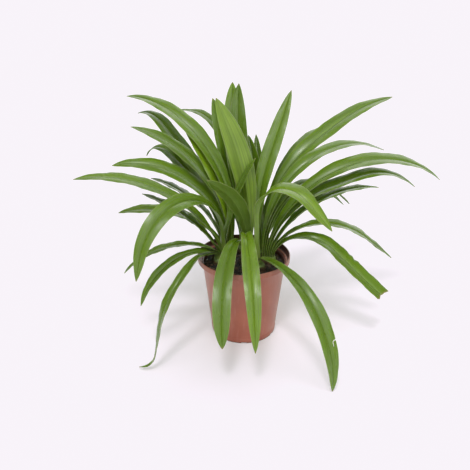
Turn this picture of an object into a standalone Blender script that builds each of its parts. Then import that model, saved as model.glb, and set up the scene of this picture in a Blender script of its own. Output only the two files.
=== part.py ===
"""Potted spider lily: seven bulbs with fans of arching strap leaves in a thin plastic nursery pot.

Metres, +Z up. The origin is on the pot's axis in the plane of its feet. The side seen first is -Y.
"""

import math
from collections import namedtuple

import bmesh
import bpy
from mathutils import Matrix, Vector

# Pot
POT_HEIGHT = 0.157
LIP_RADIUS = 0.085
LIP_BAND = 0.010
LIP_WALL = 0.0026
SHOULDER_RADIUS = 0.0766
FOOT_RADIUS = 0.060
WALL = 0.0018
FLOOR_TOP = 0.005
FOOT_RISE = 0.003
FOOT_WIDTH = 0.008
CENTRE_PAD_RADIUS = 0.018
SKIRT_HEIGHT = 0.009
SKIRT_STEP = 0.0006
POT_STEPS = 36
DRAIN_COUNT = 6
DRAIN_RADIUS = 0.0045
DRAIN_CIRCLE = 0.038
NOTCH_WIDTH = 0.010

# Soil and bulbs
FIT_GAP = 0.0003
SOIL_TOP = 0.137
SOIL_STEPS = 36
SOIL_RINGS = 5
NECK_TOP = 0.147
BULB_RADIUS = 0.016
BULB_DEPTH = 0.072
BULB_OVAL = 0.8
BULB_STEPS = 12

# Leaves
ROOT_DEPTH = 0.012
ROOT_WIDTH = 0.013
SLOT_PITCH = 0.0030
ROOT_BEND = 0.016
FOLD_RISE = 0.035
BLADE_THICKNESS = 0.0010
TIP_WIDTH = 0.0012
WALK_STEPS = 120
SHORT_LEAF = 0.250

# A leaf's length and width are in millimetres and its angles in degrees. Heading is its compass
# angle from +X, and sweep the heading's change along it. Lean is measured from upright, and goes
# from lean_root to lean_tip between bend_from and bend_to, two fractions of the length.
# Twist turns the blade about its own length. Droop is more lean, added from droop_from to the tip.
# From taper on, the blade narrows to its tip. A taper of 1 is a torn leaf, which stays wide.
Leaf = namedtuple(
    "Leaf",
    "length width heading sweep lean_root lean_tip bend_from bend_to twist droop droop_from taper",
    defaults=(0, 0, 0.8, 0.55),
)
Bulb = namedtuple("Bulb", "x y fan leaves")

# Each fan's leaves are listed from the outermost to the innermost.
BULBS = {
    "left": Bulb(-0.044, 0.006, 230, [
        Leaf(316, 23, 272, -92, 76, 168, 0.16, 0.66, 8, -80, 0.86),
        Leaf(208, 20, 211, 0, 51, 158, 0.00, 0.93, -15),
        Leaf(206, 24, 197, 0, 45, 138, 0.00, 1.00),
        Leaf(195, 30, 178, 0, 28, 70, 0.00, 1.00),
        Leaf(333, 32, 182, 0, 17, 101, 0.00, 1.00, -15),
        Leaf(354, 33, 227, 0, 3, 165, 0.12, 0.89, -30),
        Leaf(201, 20, 348, 0, 12, 32, 0.42, 1.00, 40),
    ]),
    "back_left": Bulb(-0.034, 0.040, 155, [
        Leaf(222, 30, 187, 0, 34, 104, 0.00, 1.00, -15),
        Leaf(200, 32, 178, 0, 14, 74, 0.00, 1.00),
        Leaf(277, 34, 153, 0, 8, 52, 0.00, 0.65, -10, 95, 0.74),
        Leaf(345, 36, 142, 0, 4, 48, 0.00, 0.50, -10, 58, 0.75),
        Leaf(303, 36, 179, 0, 0, 104, 0.00, 1.00, -25),
        Leaf(317, 36, 168, 0, -4, 81, 0.00, 1.00, -15),
        Leaf(254, 34, 149, 0, -3, 53, 0.06, 1.00, -25),
        Leaf(412, 38, 147, 0, -3, 97, 0.09, 1.00, -12),
    ]),
    "back": Bulb(0.000, 0.052, 100, [
        Leaf(310, 36, 118, 0, 42, 125, 0.00, 1.00),
        Leaf(300, 36, 78, 0, 28, 120, 0.00, 1.00),
        Leaf(368, 20, 130, 0, 16, 98, 0.42, 0.86, -15),
        Leaf(285, 40, 135, 0, 13, 25, 0.10, 1.00, -22),
        Leaf(310, 38, 149, -62, 5, 25, 0.10, 1.00, -20, taper=0.65),
        Leaf(308, 34, 145, -66, 3, 25, 0.15, 1.00, -15, taper=0.65),
    ]),
    "back_right": Bulb(0.032, 0.042, 50, [
        Leaf(290, 36, 55, 0, 40, 125, 0.00, 1.00),
        Leaf(323, 28, 52, 0, 6, 94, 0.00, 1.00, 10),
        Leaf(434, 38, 30, 0, 3, 62, 0.00, 0.55, 15, 22, 0.60),
        Leaf(224, 22, 96, 0, 2, 48, 0.03, 1.00, -35),
        Leaf(221, 30, 107, 0, -2, 43, 0.05, 1.00, -45),
        Leaf(313, 32, 56, 0, -3, 35, 0.14, 0.60, 15),
    ]),
    "far_right": Bulb(0.046, 0.008, 5, [
        Leaf(263, 38, -18, 0, 26, 130, 0.00, 0.50, 15, taper=1.0),
        Leaf(265, 34, -8, 0, 23, 127, 0.00, 0.76, 0),
        Leaf(255, 32, 8, 0, 18, 98, 0.00, 1.00),
        Leaf(355, 34, 10, 0, 8, 72, 0.00, 0.50, 10, 55, 0.60),
        Leaf(432, 40, 12, 0, 8, 131, 0.00, 1.00, 15),
        Leaf(308, 22, 39, 0, 6, 129, 0.14, 0.74),
        Leaf(317, 24, 34, 0, 5, 131, 0.14, 0.77),
        Leaf(382, 32, 26, 0, 4, 111, 0.10, 0.91, 8),
    ]),
    "right": Bulb(0.026, -0.018, -60, [
        Leaf(323, 30, -54, -4, 66, 184, 0.00, 1.00, 10),
        Leaf(291, 38, -37, 0, 0, 130, 0.32, 0.79, 10),
    ]),
    "middle": Bulb(0.006, 0.006, 248, [
        Leaf(286, 31, 238, 40, 20, 118, 0.05, 0.42, 0, 42, 0.48, 0.72),
        Leaf(318, 29, 274, 2, 15, 120, 0.08, 0.43, 0, 46, 0.50, 0.50),
        Leaf(212, 34, 226, 0, 2, 52, 0.10, 0.80, 35),
        Leaf(299, 42, 159, 0, -8, 26, 0.00, 0.85, 103),
    ]),
}


def clear_scene():
    for item in list(bpy.data.objects):
        bpy.data.objects.remove(item, do_unlink=True)


def make_collection(name):
    collection = bpy.data.collections.new(name)
    bpy.context.scene.collection.children.link(collection)
    return collection


def make_material(name, colour, roughness):
    material = bpy.data.materials.new(name)
    material.use_nodes = True
    shader = material.node_tree.nodes["Principled BSDF"]
    shader.inputs["Base Color"].default_value = (*colour, 1.0)
    shader.inputs["Roughness"].default_value = roughness
    return material


def add_object(name, mesh, collection, material=None):
    item = bpy.data.objects.new(name, mesh)
    if material:
        mesh.materials.append(material)
    collection.objects.link(item)
    return item


def add_cutter(name, mesh, collection):
    cutter = add_object(name, mesh, collection)
    cutter.hide_render = True
    cutter.display_type = "WIRE"
    return cutter


def cut_with(item, cutter):
    boolean = item.modifiers.new(cutter.name, "BOOLEAN")
    boolean.operation = "DIFFERENCE"
    boolean.object = cutter


def turned_mesh(name, profile, steps, collection):
    """A solid of revolution from (radius, height) points that start and end on the axis."""
    points = [(radius, 0.0, height) for radius, height in profile]
    outline = bpy.data.meshes.new(name + "_outline")
    outline.from_pydata(points, [(i, i + 1) for i in range(len(points) - 1)], [])
    source = add_object(name + "_outline", outline, collection)
    screw = source.modifiers.new("turn", "SCREW")
    screw.steps = steps
    screw.render_steps = steps
    screw.use_merge_vertices = True
    screw.merge_threshold = 0.00001
    graph = bpy.context.evaluated_depsgraph_get()
    mesh = bpy.data.meshes.new_from_object(source.evaluated_get(graph))
    bpy.data.objects.remove(source, do_unlink=True)
    mesh.name = name
    mesh.shade_smooth()
    mesh.set_sharp_from_angle(angle=math.radians(35.0))
    return mesh


def box_into(bm, size, place, turn=0.0):
    spin = Matrix.Rotation(turn, 4, "Z")
    scale = Matrix.Diagonal((*size, 1.0))
    bmesh.ops.create_cube(bm, size=1.0, matrix=spin @ Matrix.Translation(place) @ scale)


def wall_radius(height):
    """Outer radius of the pot's tapered wall."""
    shoulder_height = POT_HEIGHT - LIP_BAND - 0.002
    return FOOT_RADIUS + (SHOULDER_RADIUS - FOOT_RADIUS) * height / shoulder_height


def pot_profile():
    band_bottom = POT_HEIGHT - LIP_BAND
    lip_inner = LIP_RADIUS - LIP_WALL
    pad_edge = CENTRE_PAD_RADIUS
    foot_inner = FOOT_RADIUS - FOOT_WIDTH
    skirt_top = SKIRT_HEIGHT + 0.0008
    inside = [
        (wall_radius(FLOOR_TOP) - WALL - 0.003, FLOOR_TOP),
        (wall_radius(FLOOR_TOP + 0.002) - WALL, FLOOR_TOP + 0.002),
        (wall_radius(band_bottom - 0.004) - WALL, band_bottom - 0.004),
        (lip_inner - 0.0005, band_bottom + 0.001),
        (lip_inner, POT_HEIGHT - 0.0006),
    ]
    lip = [
        (lip_inner + 0.0005, POT_HEIGHT),
        (LIP_RADIUS - 0.0007, POT_HEIGHT),
        (LIP_RADIUS, POT_HEIGHT - 0.0008),
        (LIP_RADIUS - 0.0004, band_bottom),
        (wall_radius(band_bottom) + 0.0004, band_bottom - 0.0010),
    ]
    outside = [
        (wall_radius(band_bottom - 0.002), band_bottom - 0.0022),
        (wall_radius(skirt_top), skirt_top),
        (wall_radius(SKIRT_HEIGHT) + SKIRT_STEP, SKIRT_HEIGHT),
        (FOOT_RADIUS + SKIRT_STEP, 0.0008),
        (FOOT_RADIUS, 0.0),
    ]
    underside = [
        (foot_inner, 0.0),
        (foot_inner - 0.0008, FOOT_RISE),
        (pad_edge + 0.0008, FOOT_RISE),
        (pad_edge, 0.0),
    ]
    return [(0.0, FLOOR_TOP), *inside, *lip, *outside, *underside, (0.0, 0.0)]


def build_pot(collection, cutters, material):
    mesh = turned_mesh("pot", pot_profile(), POT_STEPS, collection)
    pot = add_object("pot", mesh, collection, material)
    bm = bmesh.new()
    for k in range(DRAIN_COUNT):
        turn = 2.0 * math.pi * (k + 0.5) / DRAIN_COUNT
        box_into(bm, (0.024, NOTCH_WIDTH, 2.0 * FOOT_RISE - 0.0008), (FOOT_RADIUS, 0.0, 0.0), turn)
    notches = bpy.data.meshes.new("foot_notches")
    bm.to_mesh(notches)
    bm.free()
    cut_with(pot, add_cutter("foot_notches", notches, cutters))
    bm = bmesh.new()
    for k in range(DRAIN_COUNT):
        turn = 2.0 * math.pi * (k + 0.5) / DRAIN_COUNT
        place = Matrix.Rotation(turn, 4, "Z") @ Vector((DRAIN_CIRCLE, 0.0, 0.5 * FLOOR_TOP))
        bmesh.ops.create_cone(
            bm, cap_ends=True, segments=12, radius1=DRAIN_RADIUS, radius2=DRAIN_RADIUS,
            depth=3.0 * FLOOR_TOP, matrix=Matrix.Translation(place),
        )
    drains = bpy.data.meshes.new("drain_holes")
    bm.to_mesh(drains)
    bm.free()
    cut_with(pot, add_cutter("drain_holes", drains, cutters))
    return pot


def soil_relief(x, y):
    """Height of the potting mix above or below its mean level."""
    broad = 0.0014 * math.sin(85.0 * x + 0.7) * math.cos(70.0 * y - 0.4)
    return broad + 0.0009 * math.sin(190.0 * x - 150.0 * y)


def bulb_profile(gap=0.0):
    """Half outline of a bulb with its neck, from the top down, grown by gap for its socket."""
    top = NECK_TOP + (0.020 if gap else 0.0)
    shape = [
        (0.97, 0.0), (0.97, 0.010), (0.94, 0.022), (1.00, 0.036),
        (0.90, 0.050), (0.66, 0.064), (0.25, BULB_DEPTH),
    ]
    outline = [(0.0, top)]
    for share, depth in shape:
        height = top if depth == 0.0 else NECK_TOP - depth
        outline.append((share * BULB_RADIUS + 1.5 * gap, height))
    outline[-1] = (outline[-1][0], outline[-1][1] - gap)
    outline.append((0.0, NECK_TOP - BULB_DEPTH - gap))
    return outline


def oval_turned(name, profile, collection):
    mesh = turned_mesh(name, profile, BULB_STEPS, collection)
    mesh.transform(Matrix.Diagonal((1.0, BULB_OVAL, 1.0, 1.0)))
    return mesh


def build_soil(collection, cutters, material):
    inner = wall_radius(SOIL_TOP) - WALL - FIT_GAP
    bottom = FLOOR_TOP + FIT_GAP
    top_points = [(inner * k / SOIL_RINGS, SOIL_TOP) for k in range(SOIL_RINGS + 1)]
    side_points = [
        (wall_radius(bottom + 0.002) - WALL - FIT_GAP, bottom + 0.002),
        (wall_radius(bottom) - WALL - 0.003 - FIT_GAP, bottom),
        (0.0, bottom),
    ]
    mesh = turned_mesh("soil", top_points + side_points, SOIL_STEPS, collection)
    for vertex in mesh.vertices:
        if vertex.co.z > SOIL_TOP - 0.0001:
            inside = min(1.0, (inner - vertex.co.xy.length) / 0.010)
            vertex.co.z += inside * soil_relief(vertex.co.x, vertex.co.y)
    soil = add_object("soil", mesh, collection, material)
    for name, bulb in BULBS.items():
        socket_mesh = oval_turned("socket_" + name, bulb_profile(FIT_GAP), collection)
        socket = add_cutter("socket_" + name, socket_mesh, cutters)
        socket.location = (bulb.x, bulb.y, 0.0)
        socket.rotation_euler.z = math.radians(bulb.fan)
        cut_with(soil, socket)
    return soil


def slot_offset(bulb, index):
    """Distance of a leaf's root from the bulb's axis, along the fan."""
    return ((len(bulb.leaves) - 1) / 2.0 - index) * SLOT_PITCH


def build_bulb(name, bulb, collection, cutters, material):
    mesh = oval_turned("bulb_" + name, bulb_profile(), collection)
    item = add_object("bulb_" + name, mesh, collection, material)
    item.location = (bulb.x, bulb.y, 0.0)
    item.rotation_euler.z = math.radians(bulb.fan)
    bm = bmesh.new()
    depth = ROOT_DEPTH + FIT_GAP
    size = (BLADE_THICKNESS + 2.0 * FIT_GAP, ROOT_WIDTH + 2.0 * FIT_GAP, 2.0 * depth)
    for index in range(len(bulb.leaves)):
        box_into(bm, size, (slot_offset(bulb, index), 0.0, NECK_TOP))
    slots = bpy.data.meshes.new("pockets_" + name)
    bm.to_mesh(slots)
    bm.free()
    pockets = add_cutter("pockets_" + name, slots, cutters)
    pockets.location = item.location
    pockets.rotation_euler = item.rotation_euler
    cut_with(item, pockets)
    return item


def smooth(value):
    value = min(max(value, 0.0), 1.0)
    return value * value * (3.0 - 2.0 * value)


def blade_width(along, leaf):
    """Full width: narrow at the root, widest past the middle and drawn to a point."""
    full = leaf.width / 1000.0
    grown = ROOT_WIDTH + (full - ROOT_WIDTH) * smooth((along - 0.06) / 0.54)
    if leaf.taper == 1.0:
        return grown
    past = max(0.0, (along - leaf.taper) / (1.0 - leaf.taper))
    return max(grown * (1.0 - past ** 2.6) ** 0.75, TIP_WIDTH)


def blade_fold(along, distance):
    """Angle of each half above flat: a channel that opens towards the tip."""
    rise = smooth(distance / FOLD_RISE)
    ease = smooth((along - 0.10) / 0.60)
    return math.radians(rise * (26.0 - 18.0 * ease))


def blade_rows(bulb, index):
    """Rows of left edge, midrib and right edge, from the foot of the root to the tip."""
    leaf = bulb.leaves[index]
    fan = bulb.fan
    shift = slot_offset(bulb, index)
    place = Vector((bulb.x, bulb.y, NECK_TOP))
    place += shift * Vector((math.cos(math.radians(fan)), math.sin(math.radians(fan)), 0.0))
    turn = (leaf.heading - fan + 180.0) % 360.0 - 180.0
    if abs(turn) > 90.0:
        fan += 180.0
        turn = (leaf.heading - fan + 180.0) % 360.0 - 180.0
    step = leaf.length / 1000.0 / WALK_STEPS
    rows = []
    for k in range(WALK_STEPS + 1):
        along = k / WALK_STEPS
        bend = min(max((along - leaf.bend_from) / (leaf.bend_to - leaf.bend_from), 0.0), 1.0)
        lean = leaf.lean_root * smooth(k * step / ROOT_BEND) + (leaf.lean_tip - leaf.lean_root) * bend
        droop = leaf.droop * smooth((along - leaf.droop_from) / (1.0 - leaf.droop_from))
        lean = math.radians(lean + droop)
        head = math.radians(fan + turn * smooth((along - 0.02) / 0.25) + leaf.sweep * along)
        roll = math.radians(leaf.twist * smooth((along - 0.02) / 0.25))
        outward = Vector((math.cos(head), math.sin(head), 0.0))
        ahead = math.sin(lean) * outward + math.cos(lean) * Vector((0.0, 0.0, 1.0))
        level = Vector((-math.sin(head), math.cos(head), 0.0))
        above = math.sin(lean) * Vector((0.0, 0.0, 1.0)) - math.cos(lean) * outward
        across = math.cos(roll) * level + math.sin(roll) * above
        face = math.cos(roll) * above - math.sin(roll) * level
        half = 0.5 * blade_width(along, leaf)
        fold = blade_fold(along, k * step)
        edge = math.cos(fold) * half * across
        lift = math.sin(fold) * half * face
        rows.append((place - edge + lift, place.copy(), place + edge + lift))
        place = place + step * ahead
    if leaf.taper == 1.0:
        left, middle, right = rows[-1]
        rows[-1] = (left - 0.010 * ahead, middle - 0.007 * ahead, right)
    root = [point - Vector((0.0, 0.0, ROOT_DEPTH)) for point in rows[0]]
    stride = 6 if leaf.length / 1000.0 > SHORT_LEAF else 8
    return [root] + rows[::stride]


def build_leaf(name, bulb, index, collection, material):
    """A strap blade: a grid laid on the rows, split alike on both faces and given its thickness."""
    rows = blade_rows(bulb, index)
    spans = len(rows) - 1
    bm = bmesh.new()
    bmesh.ops.create_grid(bm, x_segments=2, y_segments=spans, size=1.0)
    for vertex in bm.verts:
        column = round(vertex.co.x + 1.0)
        row = round(0.5 * (vertex.co.y + 1.0) * spans)
        vertex.co = rows[row][column]
    bmesh.ops.triangulate(bm, faces=bm.faces[:], quad_method="SHORT_EDGE")
    mesh = bpy.data.meshes.new(name)
    bm.to_mesh(mesh)
    bm.free()
    leaf = add_object(name, mesh, collection, material)
    solidify = leaf.modifiers.new("thickness", "SOLIDIFY")
    solidify.thickness = BLADE_THICKNESS
    solidify.offset = 0.0
    leaf.modifiers.new("triangles", "TRIANGULATE")
    return leaf


def main():
    clear_scene()
    model = make_collection("potted_spider_lily")
    cutters = make_collection("cutters")
    plastic = make_material("pot_plastic", (0.36, 0.10, 0.065), 0.38)
    earth = make_material("soil", (0.030, 0.022, 0.016), 0.95)
    sheath = make_material("bulb_sheath", (0.20, 0.27, 0.09), 0.55)
    green = make_material("foliage", (0.10, 0.26, 0.045), 0.40)
    build_pot(model, cutters, plastic)
    build_soil(model, cutters, earth)
    for name, bulb in BULBS.items():
        build_bulb(name, bulb, model, cutters, sheath)
        for index in range(len(bulb.leaves)):
            build_leaf(f"leaf_{name}_{index + 1}", bulb, index, model, green)


main()
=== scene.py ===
"""Looks of a potted spider lily: satin strap leaves in fans, dark potting mix and a thin plastic pot.

Metres, +Z up. The side that the camera sees faces -Y.
"""

import math
import random
from collections import namedtuple

import bpy
from mathutils import Matrix, Vector
from mathutils.kdtree import KDTree


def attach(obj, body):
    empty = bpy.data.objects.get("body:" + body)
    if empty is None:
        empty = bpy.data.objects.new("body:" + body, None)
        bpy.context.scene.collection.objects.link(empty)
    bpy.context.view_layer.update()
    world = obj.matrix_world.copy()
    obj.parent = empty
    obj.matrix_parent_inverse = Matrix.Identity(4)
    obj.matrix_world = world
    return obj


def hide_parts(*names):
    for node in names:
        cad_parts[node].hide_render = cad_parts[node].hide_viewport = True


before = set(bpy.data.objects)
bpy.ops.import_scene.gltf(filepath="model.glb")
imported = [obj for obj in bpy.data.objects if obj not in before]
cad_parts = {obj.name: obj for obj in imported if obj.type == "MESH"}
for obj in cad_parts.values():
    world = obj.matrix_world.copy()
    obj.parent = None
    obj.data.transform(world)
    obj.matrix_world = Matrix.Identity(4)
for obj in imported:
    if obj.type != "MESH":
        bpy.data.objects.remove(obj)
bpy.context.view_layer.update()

# Stage
# A wide, pale sheet of matte paper that the pot stands on. It fills the view, so it is backdrop too.
# Distant softboxes light it: a small one high in front, and broad ones in front, above and behind.
FLOOR_SIZE = 80.0
PAPER = (0.960, 0.945, 0.965, 1.0)
ROOM_TINT = (0.985, 0.965, 1.0, 1.0)
ROOM_STRENGTH = 0.28
WALL_STRENGTH = 1.3
FILM_KNEE = 0.60
FILM_WHITES = (0.940, 0.900, 0.950)
CAMERA_PLACE = (-0.0164, -0.988, 0.655)
CAMERA_TILT = 65.0
CAMERA_LENS = 46.0
CAMERA_SENSOR = 36.0

bpy.ops.object.select_all(action="DESELECT")
bpy.ops.mesh.primitive_plane_add(size=FLOOR_SIZE)
floor = bpy.context.object
floor.name = "studio_floor"
paper = bpy.data.materials.new("studio_paper")
paper.use_nodes = True
paper_shader = paper.node_tree.nodes["Principled BSDF"]
paper_shader.inputs["Base Color"].default_value = PAPER
paper_shader.inputs["Roughness"].default_value = 0.9
paper_shader.inputs["Specular IOR Level"].default_value = 0.1
floor.data.materials.append(paper)

studio = bpy.data.worlds.new("studio")
studio.use_nodes = True
studio_tree = studio.node_tree
room_light = studio_tree.nodes["Background"]
room_light.inputs["Color"].default_value = ROOM_TINT
room_light.inputs["Strength"].default_value = ROOM_STRENGTH
# Past the far edge of the paper, the wall looks as bright as the paper but gives only the dim room light.
wall = studio_tree.nodes.new("ShaderNodeBackground")
wall.inputs["Color"].default_value = (1.0, 1.0, 1.0, 1.0)
wall.inputs["Strength"].default_value = WALL_STRENGTH
seen = studio_tree.nodes.new("ShaderNodeLightPath")
either = studio_tree.nodes.new("ShaderNodeMixShader")
studio_tree.links.new(seen.outputs["Is Camera Ray"], either.inputs["Fac"])
studio_tree.links.new(room_light.outputs["Background"], either.inputs[1])
studio_tree.links.new(wall.outputs["Background"], either.inputs[2])
studio_tree.links.new(either.outputs["Shader"], studio_tree.nodes["World Output"].inputs["Surface"])
bpy.context.scene.world = studio

view = bpy.context.scene.view_settings
view.view_transform = "Standard"
# The film's shoulder: the brightly lit paper ends just below white, with its faint cool tint.
view.use_curve_mapping = True
film = view.curve_mapping
film.extend = "HORIZONTAL"
for curve, white in zip(film.curves, FILM_WHITES):
    curve.points[1].location = (1.0, white)
    curve.points.new(FILM_KNEE, FILM_KNEE)
film.update()


def softbox(name, toward, strength, spread):
    """A distant soft light that shines from this direction, over an angle of spread degrees."""
    bpy.ops.object.light_add(type="SUN", location=toward)
    lamp = bpy.context.object
    lamp.name = name
    lamp.data.energy = strength
    lamp.data.angle = math.radians(spread)
    lamp.rotation_euler = Vector(toward).to_track_quat("Z", "Y").to_euler()


softbox("softbox_key", (-0.2, -0.9, 1.8), 0.80, 10.0)
softbox("softbox_front", (0.1, -1.0, 1.0), 1.80, 90.0)
softbox("softbox_top", (0.0, -0.2, 1.0), 0.40, 120.0)
softbox("softbox_back", (0.25, 0.9, 0.50), 1.40, 64.0)

bpy.ops.object.camera_add(location=CAMERA_PLACE, rotation=(math.radians(CAMERA_TILT), 0.0, 0.0))
camera = bpy.context.object
camera.name = "camera"
camera.data.sensor_width = CAMERA_SENSOR
camera.data.lens = CAMERA_LENS
bpy.context.scene.camera = camera

# Pot
# A thin round nursery pot, moulded from reddish-brown plastic. Its wall tapers to a low skirt at the foot,
# and a thicker band stiffens the rim. Water leaves through holes in the floor and notches in the foot.
POT_HEIGHT = 0.157
LIP_RADIUS = 0.085
LIP_BAND = 0.010
LIP_WALL = 0.0026
SHOULDER_RADIUS = 0.0766
FOOT_RADIUS = 0.060
POT_WALL = 0.0018
POT_FLOOR_TOP = 0.005
FOOT_RISE = 0.003
FOOT_WIDTH = 0.008
CENTRE_PAD_RADIUS = 0.018
SKIRT_HEIGHT = 0.009
SKIRT_STEP = 0.0006
DRAIN_COUNT = 6
DRAIN_RADIUS = 0.0045
DRAIN_CIRCLE = 0.038
NOTCH_WIDTH = 0.010
POT_SIDES = 144
BAND_BOTTOM = POT_HEIGHT - LIP_BAND
BAND_GROOVES = 5
GROOVE_PITCH = 0.0018
GROOVE_DEPTH = 0.00025
PLASTIC = (0.275, 0.064, 0.034, 1.0)
PALER_PLASTIC = (0.320, 0.080, 0.044, 1.0)
SCUFFED = (0.450, 0.190, 0.150, 1.0)
# The colour that darkens the band round the rim.
RIM_BAND_TINT = (0.200, 0.095, 0.060, 1.0)
# The colour that darkens the pot towards the bottom.
DARKER_FOOT = (0.070, 0.030, 0.022, 1.0)
# Painted shade: the colour that darkens the inside of the pot.
INNER_SHADE = (0.040, 0.016, 0.012, 1.0)


def pot_wall_radius(height):
    """Radius of the outside of the tapered wall."""
    return FOOT_RADIUS + (SHOULDER_RADIUS - FOOT_RADIUS) * height / (BAND_BOTTOM - 0.002)


def ring_wall(name, rings, sides):
    """A round skin pulled up from a filled circle, ring by ring, through (radius, height) pairs."""
    radius, height = rings[0]
    bpy.ops.object.select_all(action="DESELECT")
    bpy.ops.mesh.primitive_circle_add(
        vertices=sides, radius=radius, location=(0.0, 0.0, height), fill_type="TRIFAN"
    )
    skin = bpy.context.object
    skin.name = name
    bpy.ops.object.transform_apply(location=True)
    bpy.ops.object.mode_set(mode="EDIT")
    bpy.ops.mesh.select_mode(type="EDGE")
    bpy.ops.mesh.select_all(action="DESELECT")
    bpy.ops.mesh.select_non_manifold()
    for (radius, height), (new_radius, new_height) in zip(rings, rings[1:]):
        bpy.ops.mesh.extrude_region_move(
            TRANSFORM_OT_translate={"value": (0.0, 0.0, new_height - height)}
        )
        share = new_radius / radius
        bpy.ops.transform.resize(value=(share, share, 1.0), center_override=(0.0, 0.0, new_height))
    bpy.ops.mesh.merge(type="CENTER")
    bpy.ops.mesh.select_all(action="SELECT")
    bpy.ops.mesh.normals_make_consistent(inside=False)
    bpy.ops.object.mode_set(mode="OBJECT")
    return skin


def lip_band():
    """Outer side of the band, from the top down, with the fine grooves that the mould leaves."""
    rings = []
    groove_radius = LIP_RADIUS - GROOVE_DEPTH
    for k in range(BAND_GROOVES):
        top = POT_HEIGHT - 0.0012 - GROOVE_PITCH * k
        rings += [(LIP_RADIUS, top), (LIP_RADIUS, top - 0.0011)]
        rings += [(groove_radius, top - 0.0013), (groove_radius, top - 0.0016)]
    return rings[:-2]


lip_inner = LIP_RADIUS - LIP_WALL
pot_rings = [
    (CENTRE_PAD_RADIUS, 0.0),
    (CENTRE_PAD_RADIUS + 0.0008, FOOT_RISE),
    (FOOT_RADIUS - FOOT_WIDTH - 0.0008, FOOT_RISE),
    (FOOT_RADIUS - FOOT_WIDTH, 0.0),
    (FOOT_RADIUS, 0.0),
    (FOOT_RADIUS + 0.7 * SKIRT_STEP, 0.0003),
    (FOOT_RADIUS + SKIRT_STEP, 0.0008),
    (pot_wall_radius(SKIRT_HEIGHT - 0.0004) + SKIRT_STEP, SKIRT_HEIGHT - 0.0004),
    (pot_wall_radius(SKIRT_HEIGHT) + 0.8 * SKIRT_STEP, SKIRT_HEIGHT),
    (pot_wall_radius(SKIRT_HEIGHT + 0.0008), SKIRT_HEIGHT + 0.0008),
    (pot_wall_radius(0.040), 0.040),
    (pot_wall_radius(0.080), 0.080),
    (pot_wall_radius(0.120), 0.120),
    (pot_wall_radius(BAND_BOTTOM - 0.003), BAND_BOTTOM - 0.003),
    (pot_wall_radius(BAND_BOTTOM) + 0.0004, BAND_BOTTOM - 0.0013),
    (pot_wall_radius(BAND_BOTTOM) + 0.0016, BAND_BOTTOM - 0.0007),
    (LIP_RADIUS - 0.0008, BAND_BOTTOM - 0.0002),
    (LIP_RADIUS - 0.0002, BAND_BOTTOM + 0.0003),
    *reversed(lip_band()),
    (LIP_RADIUS - 0.0003, POT_HEIGHT - 0.0005),
    (LIP_RADIUS - 0.0008, POT_HEIGHT - 0.0001),
    (LIP_RADIUS - 0.0014, POT_HEIGHT),
    (lip_inner + 0.0006, POT_HEIGHT - 0.0001),
    (lip_inner + 0.0001, POT_HEIGHT - 0.0007),
    (lip_inner, POT_HEIGHT - 0.0012),
    (lip_inner - 0.0004, BAND_BOTTOM + 0.0012),
    (lip_inner - 0.0012, BAND_BOTTOM + 0.0002),
    (pot_wall_radius(BAND_BOTTOM - 0.004) - POT_WALL, BAND_BOTTOM - 0.004),
    (pot_wall_radius(0.100) - POT_WALL, 0.100),
    (pot_wall_radius(0.050) - POT_WALL, 0.050),
    (pot_wall_radius(POT_FLOOR_TOP + 0.002) - POT_WALL, POT_FLOOR_TOP + 0.002),
    (pot_wall_radius(POT_FLOOR_TOP) - POT_WALL - 0.003, POT_FLOOR_TOP),
    (0.001, POT_FLOOR_TOP),
]
pot = ring_wall("nursery_pot", pot_rings, POT_SIDES)


def cut_from(piece, tool):
    """Takes a closed tool out of the piece and throws the tool away."""
    bpy.context.view_layer.objects.active = piece
    bpy.ops.object.modifier_add(type="BOOLEAN")
    piece.modifiers[-1].object = tool
    piece.modifiers[-1].operation = "DIFFERENCE"
    bpy.ops.object.modifier_apply(modifier=piece.modifiers[-1].name)
    bpy.data.objects.remove(tool, do_unlink=True)


for k in range(DRAIN_COUNT):
    angle = 2.0 * math.pi * (k + 0.5) / DRAIN_COUNT
    outward = Vector((math.cos(angle), math.sin(angle), 0.0))
    bpy.ops.mesh.primitive_cylinder_add(
        vertices=32, radius=DRAIN_RADIUS, depth=3.0 * POT_FLOOR_TOP,
        location=DRAIN_CIRCLE * outward + Vector((0.0, 0.0, 0.5 * POT_FLOOR_TOP)),
    )
    cut_from(pot, bpy.context.object)
    bpy.ops.mesh.primitive_cube_add(
        size=1.0, location=FOOT_RADIUS * outward, rotation=(0.0, 0.0, angle),
        scale=(0.024, NOTCH_WIDTH, 2.0 * FOOT_RISE - 0.0008),
    )
    cut_from(pot, bpy.context.object)
bpy.ops.object.select_all(action="DESELECT")
pot.select_set(True)
bpy.context.view_layer.objects.active = pot
bpy.ops.object.shade_smooth_by_angle(angle=math.radians(30.0))
inner = pot.data.attributes.new("inner", "FLOAT", "POINT")
for vertex, mark in zip(pot.data.vertices, inner.data):
    if vertex.co.z > BAND_BOTTOM:
        middle = LIP_RADIUS - 0.5 * LIP_WALL
    else:
        middle = pot_wall_radius(vertex.co.z) - 0.5 * POT_WALL
    mark.value = 1.0 if vertex.co.xy.length < middle and vertex.co.z > POT_FLOOR_TOP - 0.001 else 0.0


def new_material(name):
    """A node material, with its node tree and its shader."""
    material = bpy.data.materials.new(name)
    material.use_nodes = True
    return material, material.node_tree, material.node_tree.nodes["Principled BSDF"]


def add_node(tree, kind, inputs=(), **settings):
    """A node with its settings, and its inputs set to values or joined to other nodes' sockets."""
    node = tree.nodes.new(kind)
    for name, value in settings.items():
        setattr(node, name, value)
    for name, value in dict(inputs).items():
        if isinstance(value, bpy.types.NodeSocket):
            tree.links.new(value, node.inputs[name])
        else:
            node.inputs[name].default_value = value
    return node


def maths(tree, operation, first, second=0.0):
    """Result socket of a Math node."""
    return add_node(tree, "ShaderNodeMath", {0: first, 1: second}, operation=operation).outputs[0]


def plus(tree, first, second):
    return maths(tree, "ADD", first, second)


def times(tree, first, second):
    return maths(tree, "MULTIPLY", first, second)


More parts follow.
